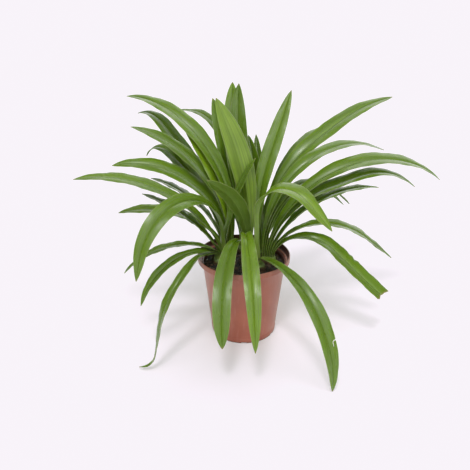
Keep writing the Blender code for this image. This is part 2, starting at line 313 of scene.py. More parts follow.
def carried(tree, name):
    """Value that the mesh carries on its points under this name."""
    return add_node(tree, "ShaderNodeAttribute", attribute_name=name).outputs["Fac"]


def blend_colours(tree, share, first, second, blend_type="MIX"):
    """Colour socket of a Mix node. Its float sockets come first, so its colours are sockets 6 and 7."""
    node = add_node(
        tree, "ShaderNodeMix", {0: share, 6: first, 7: second}, data_type="RGBA", blend_type=blend_type
    )
    return node.outputs[2]


def ramp_between(tree, value, low, high):
    """0 at low, 1 at high and smooth in between. High may be the smaller number."""
    node = add_node(
        tree, "ShaderNodeMapRange", {"Value": value, "From Min": low, "From Max": high},
        interpolation_type="SMOOTHSTEP",
    )
    return node.outputs["Result"]


def noise(tree, vector, scale, detail=2.0, stretch=None):
    """Noise value at a place, which stretch can squeeze along each axis first."""
    if stretch:
        vector = add_node(tree, "ShaderNodeMapping", {"Vector": vector, "Scale": stretch}).outputs[0]
    node = add_node(tree, "ShaderNodeTexNoise", {"Vector": vector, "Scale": scale, "Detail": detail})
    return node.outputs["Fac"]


def finish_shader(tree, shader, colour, roughness, relief, strength, distance):
    """Joins a material's colour, its roughness and its fine relief to its shader."""
    bump = add_node(tree, "ShaderNodeBump", {"Strength": strength, "Distance": distance, "Height": relief})
    tree.links.new(colour, shader.inputs["Base Color"])
    tree.links.new(roughness, shader.inputs["Roughness"])
    tree.links.new(bump.outputs["Normal"], shader.inputs["Normal"])


plastic, plastic_tree, plastic_shader = new_material("moulded_plastic")
plastic_place = add_node(plastic_tree, "ShaderNodeTexCoord").outputs["Object"]
cloud = noise(plastic_tree, plastic_place, 26.0, 4.0)
speck = noise(plastic_tree, plastic_place, 900.0)
streak = noise(plastic_tree, plastic_place, 1.0, 3.0, (240.0, 240.0, 9.0))
pot_height = add_node(plastic_tree, "ShaderNodeSeparateXYZ", {0: plastic_place}).outputs["Z"]
paler = ramp_between(plastic_tree, cloud, 0.35, 0.70)
pot_colour = blend_colours(plastic_tree, paler, PLASTIC, PALER_PLASTIC)
scuffs = times(plastic_tree, ramp_between(plastic_tree, streak, 0.52, 0.80), 0.25)
pot_colour = blend_colours(plastic_tree, scuffs, pot_colour, SCUFFED)
# The plastic is darker and browner towards the rim.
rim_band = plus(plastic_tree, pot_height, times(plastic_tree, cloud, 0.020))
rim_band = times(plastic_tree, ramp_between(plastic_tree, rim_band, 0.150, 0.172), 0.45)
pot_colour = blend_colours(plastic_tree, rim_band, pot_colour, RIM_BAND_TINT)
# The pot is darker towards the bottom, over the lowest few millimetres of the foot.
foot_darkening = times(plastic_tree, ramp_between(plastic_tree, pot_height, 0.0035, 0.0), 0.75)
pot_colour = blend_colours(plastic_tree, foot_darkening, pot_colour, DARKER_FOOT)
# Painted shade: the inner wall is painted almost black, mottled a little, as though shaded inside the pot.
inner_shade = plus(plastic_tree, 0.66, times(plastic_tree, cloud, 0.3))
inner_shade = times(plastic_tree, carried(plastic_tree, "inner"), inner_shade)
pot_colour = blend_colours(plastic_tree, inner_shade, pot_colour, INNER_SHADE)
plastic_roughness = plus(plastic_tree, 0.30, times(plastic_tree, cloud, 0.16))
plastic_relief = plus(plastic_tree, speck, times(plastic_tree, streak, 0.6))
finish_shader(plastic_tree, plastic_shader, pot_colour, plastic_roughness, plastic_relief, 0.25, 0.0002)
plastic_shader.inputs["IOR"].default_value = 1.55
plastic_shader.inputs["Coat Weight"].default_value = 0.15
plastic_shader.inputs["Coat Roughness"].default_value = 0.25
pot.data.materials.append(plastic)
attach(pot, "root")
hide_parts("pot")

# Potting mix
# Dark, moist bark and peat that fills the pot to two fingers below the rim. The surface is uneven crumbs,
# with chips of bark, a few white grains and old root fibres lying on it.
SOIL_TOP = 0.137
FIT_GAP = 0.0003
SOIL_SIDES = 120
CRUMB_RINGS = 34
PEAT = (0.0045, 0.0038, 0.0026, 1.0)
LIGHTER_PEAT = (0.026, 0.018, 0.010, 1.0)
PALE_GRAIN = (0.075, 0.052, 0.030, 1.0)
DARK_BARK = (0.030, 0.017, 0.009, 1.0)
PALE_BARK = (0.120, 0.070, 0.036, 1.0)
GRIT = (0.420, 0.390, 0.330, 1.0)
soil_radius = pot_wall_radius(SOIL_TOP) - POT_WALL - FIT_GAP


def soil_relief(x, y):
    """Height of the mix above or below its mean level, as in the solid."""
    broad = 0.0014 * math.sin(85.0 * x + 0.7) * math.cos(70.0 * y - 0.4)
    return broad + 0.0009 * math.sin(190.0 * x - 150.0 * y)


soil_low = POT_FLOOR_TOP + FIT_GAP
soil_rings = [
    (pot_wall_radius(soil_low) - POT_WALL - 0.003 - FIT_GAP, soil_low),
    (pot_wall_radius(soil_low + 0.002) - POT_WALL - FIT_GAP, soil_low + 0.002),
    (soil_radius, SOIL_TOP),
]
soil_rings += [(soil_radius * (1.0 - k / CRUMB_RINGS), SOIL_TOP) for k in range(1, CRUMB_RINGS)]
soil_rings += [(0.0006, SOIL_TOP)]
mix = ring_wall("potting_mix", soil_rings, SOIL_SIDES)
for vertex in mix.data.vertices:
    if vertex.co.z > SOIL_TOP - 0.0001:
        inside = min(1.0, (soil_radius - vertex.co.xy.length) / 0.010)
        vertex.co.z += inside * soil_relief(vertex.co.x, vertex.co.y)
upper = [v for v in mix.data.vertices if v.co.z > SOIL_TOP - 0.004]
free_of_wall = [v.index for v in upper if v.co.xy.length < soil_radius - 0.001]
mix.vertex_groups.new(name="top").add(free_of_wall, 1.0, "REPLACE")


def push_up(piece, name, size, height):
    """Raises and sinks the top of the mix by a cloudy pattern of this size."""
    pattern = bpy.data.textures.new(name, "CLOUDS")
    pattern.noise_scale = size
    pattern.noise_depth = 2
    bpy.ops.object.modifier_add(type="DISPLACE")
    piece.modifiers[-1].texture = pattern
    piece.modifiers[-1].texture_coords = "LOCAL"
    piece.modifiers[-1].direction = "Z"
    piece.modifiers[-1].strength = height
    piece.modifiers[-1].vertex_group = "top"
    bpy.ops.object.modifier_apply(modifier=piece.modifiers[-1].name)


push_up(mix, "crumbs", 0.0030, 0.0044)
push_up(mix, "clods", 0.0110, 0.0050)
bpy.ops.object.shade_smooth()

earth, earth_tree, earth_shader = new_material("peat_and_bark")
earth_place = add_node(earth_tree, "ShaderNodeTexCoord").outputs["Object"]
earth_tone = carried(earth_tree, "tone")
clod = noise(earth_tree, earth_place, 90.0, 6.0)
fibre = noise(earth_tree, earth_place, 1.0, 3.0, (1400.0, 260.0, 700.0))
grain = add_node(earth_tree, "ShaderNodeTexVoronoi", {"Vector": earth_place, "Scale": 420.0})
lighter = ramp_between(earth_tree, clod, 0.35, 0.75)
earth_colour = blend_colours(earth_tree, lighter, PEAT, LIGHTER_PEAT)
pale_grains = times(earth_tree, ramp_between(earth_tree, grain.outputs["Color"], 0.80, 0.92), 0.6)
earth_colour = blend_colours(earth_tree, pale_grains, earth_colour, PALE_GRAIN)
bark_colour = blend_colours(earth_tree, fibre, DARK_BARK, PALE_BARK)
is_bark = ramp_between(earth_tree, earth_tone, 0.10, 0.70)
earth_colour = blend_colours(earth_tree, is_bark, earth_colour, bark_colour)
is_grit = ramp_between(earth_tree, earth_tone, 0.88, 0.98)
earth_colour = blend_colours(earth_tree, is_grit, earth_colour, GRIT)
earth_roughness = plus(earth_tree, 0.68, times(earth_tree, clod, 0.30))
earth_relief = plus(earth_tree, clod, times(earth_tree, grain.outputs["Distance"], 0.5))
earth_relief = plus(earth_tree, earth_relief, times(earth_tree, fibre, 0.3))
finish_shader(earth_tree, earth_shader, earth_colour, earth_roughness, earth_relief, 0.8, 0.0012)
mix.data.materials.append(earth)
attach(mix, "root")
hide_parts("soil")

# Litter on the mix
# Loose chips of bark, crumbs of peat, white volcanic grit and dry root fibres. They lie as they fell when
# the pot was filled, and each sinks a little into the mix.
BULB_PLACES = {
    "left": (-0.044, 0.006), "back_left": (-0.034, 0.040), "back": (0.000, 0.052),
    "back_right": (0.032, 0.042), "far_right": (0.046, 0.008), "right": (0.026, -0.018),
    "middle": (0.006, 0.006),
}
LITTER_RADIUS = 0.070
CLEAR_OF_BULB = 0.0165
# Each kind is cut from a few seeded shapes. Tone goes from 0, black peat, through bark to 1, white grit.
Litter = namedtuple("Litter", "count shapes smallest largest flatness tone_from tone_to")
LITTER_KINDS = (
    Litter(170, (11, 12, 13), 0.0030, 0.0085, 0.34, 0.35, 0.80),
    Litter(230, (14, 15), 0.0014, 0.0034, 0.80, 0.00, 0.45),
    Litter(16, (16,), 0.0014, 0.0026, 0.90, 1.00, 1.00),
)
CHIP_TILT = 0.35
CHIP_LIFT = 0.22
FIBRE_COUNT = 34
FIBRE_RADIUS = 0.00022
FIBRE_TONES = (0.75, 0.80, 0.91)

soil_top_points = [v.co.copy() for v in mix.data.vertices if v.co.z > SOIL_TOP - 0.006]
soil_tree = KDTree(len(soil_top_points))
for k, point in enumerate(soil_top_points):
    soil_tree.insert((point.x, point.y, 0.0), k)
soil_tree.balance()
chance = random.Random(7)


def soil_height(x, y):
    """Height of the finished mix under a point, from its nearest vertex."""
    return soil_top_points[soil_tree.find((x, y, 0.0))[1]].z


def free_spot():
    """A place on the mix that isn't under a bulb's neck."""
    while True:
        angle = chance.uniform(0.0, 2.0 * math.pi)
        radius = LITTER_RADIUS * math.sqrt(chance.uniform(0.0, 1.0))
        spot = Vector((radius * math.cos(angle), radius * math.sin(angle)))
        if all((spot - Vector(place)).length > CLEAR_OF_BULB for place in BULB_PLACES.values()):
            return spot


def lump(seed):
    """A rough lump one unit across, chipped out of a cube."""
    bpy.ops.object.select_all(action="DESELECT")
    bpy.ops.mesh.primitive_cube_add(size=0.8)
    shape = bpy.context.object
    bpy.ops.object.mode_set(mode="EDIT")
    bpy.ops.mesh.bevel(offset=0.16, segments=1, affect="EDGES")
    bpy.ops.transform.vertex_random(offset=0.11, seed=seed)
    bpy.ops.mesh.quads_convert_to_tris()
    bpy.ops.object.mode_set(mode="OBJECT")
    return shape


def mark_points(mesh, name, value):
    """Writes one value on all points of a mesh, for its material to read."""
    mark = mesh.attributes.new(name, "FLOAT", "POINT")
    mark.data.foreach_set("value", [value] * len(mesh.vertices))


loose = []
for kind in LITTER_KINDS:
    moulds = [lump(seed) for seed in kind.shapes]
    for k in range(kind.count):
        spot = free_spot()
        size = chance.uniform(kind.smallest, kind.largest)
        chip = moulds[k % len(moulds)].copy()
        chip.data = chip.data.copy()
        bpy.context.collection.objects.link(chip)
        thin = Matrix.Diagonal((size, size * chance.uniform(0.45, 0.9), size * kind.flatness, 1.0))
        turn = Matrix.Rotation(chance.uniform(0.0, 6.28), 4, "Z")
        tilt = Matrix.Rotation(chance.gauss(0.0, CHIP_TILT), 4, "X")
        tilt = tilt @ Matrix.Rotation(chance.gauss(0.0, CHIP_TILT), 4, "Y")
        height = soil_height(spot.x, spot.y) + CHIP_LIFT * size * kind.flatness
        chip.data.transform(Matrix.Translation((spot.x, spot.y, height)) @ turn @ tilt @ thin)
        mark_points(chip.data, "tone", chance.uniform(kind.tone_from, kind.tone_to))
        loose.append(chip)
    for mould in moulds:
        bpy.data.objects.remove(mould, do_unlink=True)
for k in range(FIBRE_COUNT):
    spot = free_spot()
    heading = chance.uniform(0.0, 6.28)
    bpy.ops.object.select_all(action="DESELECT")
    bpy.ops.mesh.primitive_cylinder_add(vertices=5, radius=FIBRE_RADIUS, depth=1.0, end_fill_type="NOTHING")
    strand = bpy.context.object
    bpy.ops.object.mode_set(mode="EDIT")
    bpy.ops.mesh.subdivide(number_cuts=9, quadcorner="INNERVERT")
    bpy.ops.object.mode_set(mode="OBJECT")
    length = chance.uniform(0.008, 0.022)
    curl = chance.uniform(-2.4, 2.4)
    for vertex in strand.data.vertices:
        share = vertex.co.z
        angle = heading + curl * share
        run = length * share
        x = spot.x + run * math.cos(angle)
        y = spot.y + run * math.sin(angle)
        hump = 0.0022 * math.cos(2.6 * share) + 0.0006
        slim = 1.0 - 1.5 * share * share
        side = Vector((-math.sin(angle), math.cos(angle), 0.0)) * vertex.co.x * slim
        vertex.co = Vector((x, y, soil_height(x, y) + hump + vertex.co.y * slim)) + side
    mark_points(strand.data, "tone", chance.choice(FIBRE_TONES))
    loose.append(strand)
bpy.ops.object.select_all(action="DESELECT")
for item in loose:
    item.select_set(True)
bpy.context.view_layer.objects.active = loose[0]
bpy.ops.object.join()
litter = bpy.context.object
litter.name = "bark_and_grit"
bpy.ops.object.mode_set(mode="EDIT")
bpy.ops.mesh.select_all(action="SELECT")
bpy.ops.mesh.normals_make_consistent(inside=False)
bpy.ops.object.mode_set(mode="OBJECT")
bpy.ops.object.shade_smooth_by_angle(angle=math.radians(40.0))
litter.data.materials.append(earth)
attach(litter, "root")

# Leaf fans
# Each bulb holds its strap leaves in one flat fan, outermost first. A leaf is a waxy blade a millimetre
# thick, folded to a channel at its foot, with a midrib, fine parallel veins and a duller underside.
NECK_TOP = 0.147
ROOT_DEPTH = 0.012
ROOT_WIDTH = 0.013
WIDEN_FROM = 0.06
WIDEN_SPAN = 0.54
SLOT_PITCH = 0.0030
ROOT_BEND = 0.016
TURN_FROM = 0.02
TURN_SPAN = 0.25
FOLD_RISE = 0.035
FOLD_AT_ROOT = 26.0
FOLD_LOSS = 18.0
UNFOLD_FROM = 0.10
UNFOLD_SPAN = 0.60
BLADE_THICKNESS = 0.0011
MARGIN_SHARE = 0.55
TIP_WIDTH = 0.0012
TIP_BULGE = 2.6
TIP_ROUNDING = 0.75
BELLY = 0.06
MIDRIB_DEPTH = 0.0005
MIDRIB_SPREAD = 0.09
WALK_STEPS = 120
# Columns across a blade, from one edge at -1 to the other at 1, closest at the midrib and the edges.
BLADE_COLUMNS = (
    -1.0, -0.94, -0.80, -0.58, -0.36, -0.17, -0.05, 0.0, 0.05, 0.17, 0.36, 0.58, 0.80, 0.94, 1.0
)
# The torn end, as pairs of a place across the blade and how far it stops short there, in millimetres.
TORN_END = (
    (-1.0, 13.0), (-0.80, 9.6), (-0.45, 10.4), (-0.2, 11.0), (0.05, 7.6), (0.4, 6.2), (0.7, 2.6), (1.0, 0.0)
)
CREASE_PLACE = 0.66
CREASE_SPAN = 0.06
CREASE_HEIGHT = 0.0016
# The hooked tear in one leaf's edge: its place along the leaf, and then its sizes in metres.
HOOK_PLACE = 0.722
HOOK_WIDTH = 0.0019
HOOK_REACH = 0.0075
HOOK_CUTTER = 0.008
SCAR = (0.260, 0.230, 0.080, 1.0)
DRY_TIP = (0.240, 0.190, 0.070, 1.0)

# Lengths and widths are in millimetres and angles in degrees, as in the solids. Youth runs from 0, a dark
# old leaf, to 1, a yellow-green young one. A blade narrows from the taper's share of its length on, and a
# taper of 1 marks the torn leaf, which stays wide. Wave is how far the edges rise and fall.
Leaf = namedtuple(
    "Leaf",
    "youth length width heading sweep lean_root lean_tip bend_from bend_to "
    "twist droop droop_from taper wave",
    defaults=(0, 0, 0.8, 0.55, 0.7),
)
Bulb = namedtuple("Bulb", "x y fan leaves")
BULBS = {
    "left": Bulb(*BULB_PLACES["left"], 230, [
        Leaf(0.3, 316, 23, 272, -92, 76, 168, 0.16, 0.66, 8, -80, 0.86),
        Leaf(0.3, 208, 20, 211, 0, 51, 158, 0.00, 0.93, -15),
        Leaf(0.3, 206, 24, 197, 0, 45, 138, 0.00, 1.00),
        Leaf(0.2, 195, 30, 178, 0, 28, 70, 0.00, 1.00),
        Leaf(0.5, 333, 32, 182, 0, 17, 101, 0.00, 1.00, -15),
        Leaf(0.4, 354, 33, 227, 0, 3, 165, 0.12, 0.89, -30),
        Leaf(0.3, 201, 20, 348, 0, 12, 32, 0.42, 1.00, 40),
    ]),
    "back_left": Bulb(*BULB_PLACES["back_left"], 155, [
        Leaf(0.6, 222, 30, 187, 0, 34, 104, 0.00, 1.00, -15),
        Leaf(0.1, 200, 32, 178, 0, 14, 74, 0.00, 1.00),
        Leaf(0.3, 277, 34, 153, 0, 8, 52, 0.00, 0.65, -10, 95, 0.74),
        Leaf(0.3, 345, 36, 142, 0, 4, 48, 0.00, 0.50, -10, 58, 0.75),
        Leaf(0.5, 303, 36, 179, 0, 0, 104, 0.00, 1.00, -25),
        Leaf(0.3, 317, 36, 168, 0, -4, 81, 0.00, 1.00, -15),
        Leaf(0.8, 254, 34, 149, 0, -3, 53, 0.06, 1.00, -25),
        Leaf(0.5, 412, 38, 147, 0, -3, 97, 0.09, 1.00, -12),
    ]),
    "back": Bulb(*BULB_PLACES["back"], 100, [
        Leaf(0.3, 310, 36, 118, 0, 42, 125, 0.00, 1.00),
        Leaf(0.3, 300, 36, 78, 0, 28, 120, 0.00, 1.00),
        Leaf(0.2, 368, 20, 130, 0, 16, 98, 0.42, 0.86, -15),
        Leaf(0.4, 285, 40, 135, 0, 13, 25, 0.10, 1.00, -22),
        Leaf(0.6, 310, 38, 149, -62, 5, 25, 0.10, 1.00, -20, taper=0.65),
        Leaf(0.2, 308, 34, 145, -66, 3, 25, 0.15, 1.00, -15, taper=0.65),
    ]),
    "back_right": Bulb(*BULB_PLACES["back_right"], 50, [
        Leaf(0.3, 290, 36, 55, 0, 40, 125, 0.00, 1.00),
        Leaf(0.3, 323, 28, 52, 0, 6, 94, 0.00, 1.00, 10),
        Leaf(0.5, 434, 38, 30, 0, 3, 62, 0.00, 0.55, 15, 22, 0.60),
        Leaf(0.2, 224, 22, 96, 0, 2, 48, 0.03, 1.00, -35),
        Leaf(0.2, 221, 30, 107, 0, -2, 43, 0.05, 1.00, -45),
        Leaf(0.5, 313, 32, 56, 0, -3, 35, 0.14, 0.60, 15),
    ]),
    "far_right": Bulb(*BULB_PLACES["far_right"], 5, [
        Leaf(0.5, 263, 38, -18, 0, 26, 130, 0.00, 0.50, 15, taper=1.0, wave=0.6),
        Leaf(0.3, 265, 34, -8, 0, 23, 127, 0.00, 0.76, 0),
        Leaf(0.3, 255, 32, 8, 0, 18, 98, 0.00, 1.00),
        Leaf(0.4, 355, 34, 10, 0, 8, 72, 0.00, 0.50, 10, 55, 0.60),
        Leaf(0.5, 432, 40, 12, 0, 8, 131, 0.00, 1.00, 15),
        Leaf(0.3, 308, 22, 39, 0, 6, 129, 0.14, 0.74),
        Leaf(0.3, 317, 24, 34, 0, 5, 131, 0.14, 0.77),
        Leaf(0.4, 382, 32, 26, 0, 4, 111, 0.10, 0.91, 8),
    ]),
    "right": Bulb(*BULB_PLACES["right"], -60, [
        Leaf(0.4, 323, 30, -54, -4, 66, 184, 0.00, 1.00, 10),
        Leaf(0.7, 291, 38, -37, 0, 0, 130, 0.32, 0.79, 10),
    ]),
    "middle": Bulb(*BULB_PLACES["middle"], 248, [
        Leaf(0.3, 286, 31, 238, 40, 20, 118, 0.05, 0.42, 0, 42, 0.48, 0.72),
        Leaf(0.6, 318, 29, 274, 2, 15, 120, 0.08, 0.43, 0, 46, 0.50, 0.50),
        Leaf(0.2, 212, 34, 226, 0, 2, 52, 0.10, 0.80, 35),
        Leaf(1.0, 299, 42, 159, 0, -8, 26, 0.00, 0.85, 103),
    ]),
}


def smooth(value):
    """0 below 0, 1 above 1 and smooth in between."""
    value = min(max(value, 0.0), 1.0)
    return value * value * (3.0 - 2.0 * value)


def slot_offset(bulb, index):
    """Distance of a leaf's root from the bulb's axis, along the fan."""
    return ((len(bulb.leaves) - 1) / 2.0 - index) * SLOT_PITCH


def blade_width(along, leaf):
    """Full width: narrow at the root, widest past the middle and drawn to a point."""
    full = leaf.width / 1000.0
    grown = ROOT_WIDTH + (full - ROOT_WIDTH) * smooth((along - WIDEN_FROM) / WIDEN_SPAN)
    if leaf.taper == 1.0:
        return grown
    past = max(0.0, (along - leaf.taper) / (1.0 - leaf.taper))
    return max(grown * (1.0 - past ** TIP_BULGE) ** TIP_ROUNDING, TIP_WIDTH)


def blade_frames(bulb, index):
    """Place, side, face, half width and fold angle at every step along a blade, as in the solids."""
    leaf = bulb.leaves[index]
    fan = bulb.fan
    shift = slot_offset(bulb, index)
    place = Vector((bulb.x, bulb.y, NECK_TOP))
    place += shift * Vector((math.cos(math.radians(fan)), math.sin(math.radians(fan)), 0.0))
    turn = (leaf.heading - fan + 180.0) % 360.0 - 180.0
    if abs(turn) > 90.0:
        fan += 180.0
        turn = (leaf.heading - fan + 180.0) % 360.0 - 180.0
    step = leaf.length / 1000.0 / WALK_STEPS
    frames = []
    for k in range(WALK_STEPS + 1):
        along = k / WALK_STEPS
        bend = min(max((along - leaf.bend_from) / (leaf.bend_to - leaf.bend_from), 0.0), 1.0)
        lean = leaf.lean_root * smooth(k * step / ROOT_BEND) + (leaf.lean_tip - leaf.lean_root) * bend
        droop = leaf.droop * smooth((along - leaf.droop_from) / (1.0 - leaf.droop_from))
        lean = math.radians(lean + droop)
        turned = smooth((along - TURN_FROM) / TURN_SPAN)
        head = math.radians(fan + turn * turned + leaf.sweep * along)
        roll = math.radians(leaf.twist * turned)
        outward = Vector((math.cos(head), math.sin(head), 0.0))
        ahead = math.sin(lean) * outward + math.cos(lean) * Vector((0.0, 0.0, 1.0))
        level = Vector((-math.sin(head), math.cos(head), 0.0))
        above = math.sin(lean) * Vector((0.0, 0.0, 1.0)) - math.cos(lean) * outward
        across = math.cos(roll) * level + math.sin(roll) * above
        face = math.cos(roll) * above - math.sin(roll) * level
        rise = 0.5 + 0.5 * smooth(k * step / FOLD_RISE)
        unfolded = smooth((along - UNFOLD_FROM) / UNFOLD_SPAN)
        fold = math.radians(rise * (FOLD_AT_ROOT - FOLD_LOSS * unfolded))
        frames.append((place.copy(), across, face, 0.5 * blade_width(along, leaf), fold))
        place = place + step * ahead
    return frames


def frame_at(frames, along):
    """The same five values at any fraction of the length."""
    spot = min(max(along, 0.0), 1.0) * WALK_STEPS
    low = min(int(spot), WALK_STEPS - 1)
    return [a + (b - a) * (spot - low) for a, b in zip(frames[low], frames[low + 1])]


def torn_back(side):
    """How far the ragged end of the torn leaf stops short, in millimetres, at this place across it."""
    for (low, first), (high, second) in zip(TORN_END, TORN_END[1:]):
        if side <= high:
            return first + (second - first) * (side - low) / (high - low)
    return 0.0


def blade_skin(name, bulb, index):
    """The middle skin of a blade: rounded channel, sunk midrib and slightly wavy edges."""
    leaf = bulb.leaves[index]
    frames = blade_frames(bulb, index)
    shares = [0.0] + [k / WALK_STEPS for k in range(WALK_STEPS + 1)]
    spans = len(shares) - 1
    columns = len(BLADE_COLUMNS) - 1
    bpy.ops.object.select_all(action="DESELECT")
    bpy.ops.mesh.primitive_grid_add(x_subdivisions=columns, y_subdivisions=spans, size=2.0)
    blade = bpy.context.object
    blade.name = name
    mesh = blade.data
    spots = [
        (columns - round(0.5 * columns * (v.co.x + 1.0)), round(0.5 * spans * (v.co.y + 1.0)))
        for v in mesh.vertices
    ]
    habit = random.Random(name)
    phase = habit.uniform(0.0, 6.28)
    waves = habit.uniform(4.0, 7.0)
    for vertex, (column, row) in zip(mesh.vertices, spots):
        side = BLADE_COLUMNS[column]
        along = shares[row]
        if leaf.taper == 1.0:
            along -= torn_back(side) / leaf.length * smooth((along - 0.80) / 0.20)
        place, across, face, half, fold = frame_at(frames, along)
        if row == 0:
            place = place - Vector((0.0, 0.0, ROOT_DEPTH))
        rim = abs(side)
        grown = smooth(along / 0.4)
        height = leaf.wave / 1000.0 * grown * (1.0 - smooth((along - 0.85) / 0.15) * 0.7)
        ripple = height * rim ** 3 * math.sin(2.0 * math.pi * waves * along + phase + 1.3 * side)
        flutter_turn = 2.0 * math.pi * 2.7 * waves * along + 2.0 * phase - 2.0 * side
        flutter = 0.35 * height * rim ** 4 * math.sin(flutter_turn)
        if leaf.taper == 1.0:
            near_crease = math.exp(-(((along - CREASE_PLACE) / CREASE_SPAN) ** 2))
            ripple += CREASE_HEIGHT * near_crease * max(0.0, side) ** 2 * math.sin(110.0 * along)
        belly = BELLY * half * grown * math.sin(math.pi * rim)
        groove = -MIDRIB_DEPTH * smooth(along / 0.1) * math.exp(-((side / MIDRIB_SPREAD) ** 2))
        lift = math.sin(fold) * half * rim + ripple + flutter + belly + groove
        vertex.co = place + math.cos(fold) * half * side * across + lift * face
    uv = mesh.uv_layers.active
    for loop in mesh.loops:
        column, row = spots[loop.vertex_index]
        uv.data[loop.index].uv = (0.5 * (BLADE_COLUMNS[column] + 1.0), shares[row])
    flesh = blade.vertex_groups.new(name="flesh")
    for vertex, (column, row) in zip(mesh.vertices, spots):
        thinning = (1.0 - MARGIN_SHARE) * abs(BLADE_COLUMNS[column]) ** 2
        flesh.add([vertex.index], 1.0 - thinning, "REPLACE")
    return blade


def thicken(skin, thickness, **settings):
    """Gives a thin skin its thickness, half on each side."""
    bpy.context.view_layer.objects.active = skin
    bpy.ops.object.modifier_add(type="SOLIDIFY")
    solid = skin.modifiers[-1]
    solid.thickness = thickness
    solid.offset = 0.0
    for name, value in settings.items():
        setattr(solid, name, value)
    bpy.ops.object.modifier_apply(modifier=solid.name)


def finish_blade(blade, leaf):
    """Gives a blade its thickness, its two skins and its place in the frame."""
    blade.data.materials.append(blade_upper)
    blade.data.materials.append(blade_under)
    thicken(blade, BLADE_THICKNESS, vertex_group="flesh", material_offset=1)
    if blade.name == "blade_right_1":
        cut_from(blade, hooked_tear(BULBS["right"], 0))
    mark_points(blade.data, "youth", leaf.youth)
    mark_points(blade.data, "grain", random.Random(blade.name).uniform(0.0, 40.0))
    # The cut blade is no longer selected here, so it alone keeps its fine facets.
    bpy.ops.object.shade_smooth_by_angle(angle=math.radians(50.0))
    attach(blade, "root")
    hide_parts(blade.name.replace("blade_", "leaf_"))


def hooked_tear(bulb, index):
    """A thin hooked wedge through the right edge of the front leaf, where it is torn."""
    frames = blade_frames(bulb, index)
    length = bulb.leaves[index].length / 1000.0
    bpy.ops.object.select_all(action="DESELECT")
    bpy.ops.mesh.primitive_grid_add(x_subdivisions=8, y_subdivisions=1, size=2.0)
    wedge = bpy.context.object
    for vertex in wedge.data.vertices:
        share = 0.5 * (vertex.co.x + 1.0)
        turn = math.radians(92.0) * smooth(share * 1.6)
        inward = HOOK_REACH * math.sin(min(turn, math.radians(90.0))) - 0.0015
        onward = 0.0022 * (1.0 - math.cos(turn)) + 0.0140 * max(0.0, share - 0.45)
        width = HOOK_WIDTH * (1.0 - 0.6 * share) * 0.5 * vertex.co.y
        place, across, face, half, fold = frame_at(frames, HOOK_PLACE + onward / length)
        edge = place + (math.cos(fold) * half - inward) * across + math.sin(fold) * half * face
        ahead = across.cross(face)
        slant = math.cos(turn) * ahead + math.sin(turn) * across
        vertex.co = edge + width * slant
    thicken(wedge, HOOK_CUTTER)
    return wedge


def leaf_mask_group():
    """Masks of a strap leaf: by its UV map, by its place on the plant and by a number of its own."""
    group = bpy.data.node_groups.new("strap_leaf_masks", "ShaderNodeTree")
    group.interface.new_socket("Blade", in_out="INPUT", socket_type="NodeSocketVector")
    group.interface.new_socket("Place", in_out="INPUT", socket_type="NodeSocketVector")
    group.interface.new_socket("Grain", in_out="INPUT", socket_type="NodeSocketFloat")
    for name in ("Veins", "Stripes", "Midrib", "Edge", "Foot", "Tip", "Patches", "Scars", "Relief"):
        group.interface.new_socket(name, in_out="OUTPUT", socket_type="NodeSocketFloat")
    start = group.nodes.new("NodeGroupInput")
    end = group.nodes.new("NodeGroupOutput")
    spot = add_node(group, "ShaderNodeSeparateXYZ", {0: start.outputs["Blade"]})
    across, along = spot.outputs["X"], spot.outputs["Y"]
    side = maths(group, "ABSOLUTE", maths(group, "SUBTRACT", times(group, across, 2.0), 1.0))
    own = add_node(group, "ShaderNodeCombineXYZ", {"X": across, "Y": along, "Z": start.outputs["Grain"]})
    stripes = noise(group, own.outputs[0], 1.0, 2.0, (15.0, 1.1, 1.0))
    streaks = noise(group, own.outputs[0], 1.0, 3.0, (60.0, 3.5, 1.0))
    ribs = maths(group, "SINE", times(group, across, 170.0))
    ribs = times(group, plus(group, ribs, 1.0), 0.175)
    veins = plus(group, ribs, times(group, streaks, 0.65))
    midrib = ramp_between(group, side, 0.085, 0.015)
    patches = noise(group, start.outputs["Place"], 22.0, 4.0)
    ripples = noise(group, own.outputs[0], 1.0, 2.0, (3.0, 90.0, 1.0))
    spots = add_node(group, "ShaderNodeTexVoronoi", {"Vector": start.outputs["Place"], "Scale": 55.0})
    spot_number = add_node(group, "ShaderNodeSeparateXYZ", {0: spots.outputs["Color"]}).outputs["X"]
    rare = ramp_between(group, spot_number, 0.90, 0.93)
    scars = times(group, ramp_between(group, spots.outputs["Distance"], 0.11, 0.05), rare)
    relief = maths(group, "SUBTRACT", times(group, veins, 0.7), midrib)
    relief = plus(group, relief, times(group, ripples, 0.12))
    frayed = plus(group, along, times(group, streaks, 0.02))
    results = {
        "Veins": veins,
        "Stripes": ramp_between(group, stripes, 0.38, 0.66),
        "Midrib": midrib,
        "Edge": ramp_between(group, side, 0.91, 0.985),
        "Foot": ramp_between(group, along, 0.15, 0.01),
        "Tip": ramp_between(group, frayed, 0.99, 1.012),
        "Patches": ramp_between(group, patches, 0.35, 0.68),
        "Scars": scars,
        "Relief": relief,
    }
    for name, value in results.items():
        group.links.new(value, end.inputs[name])
    return group


leaf_masks = leaf_mask_group()


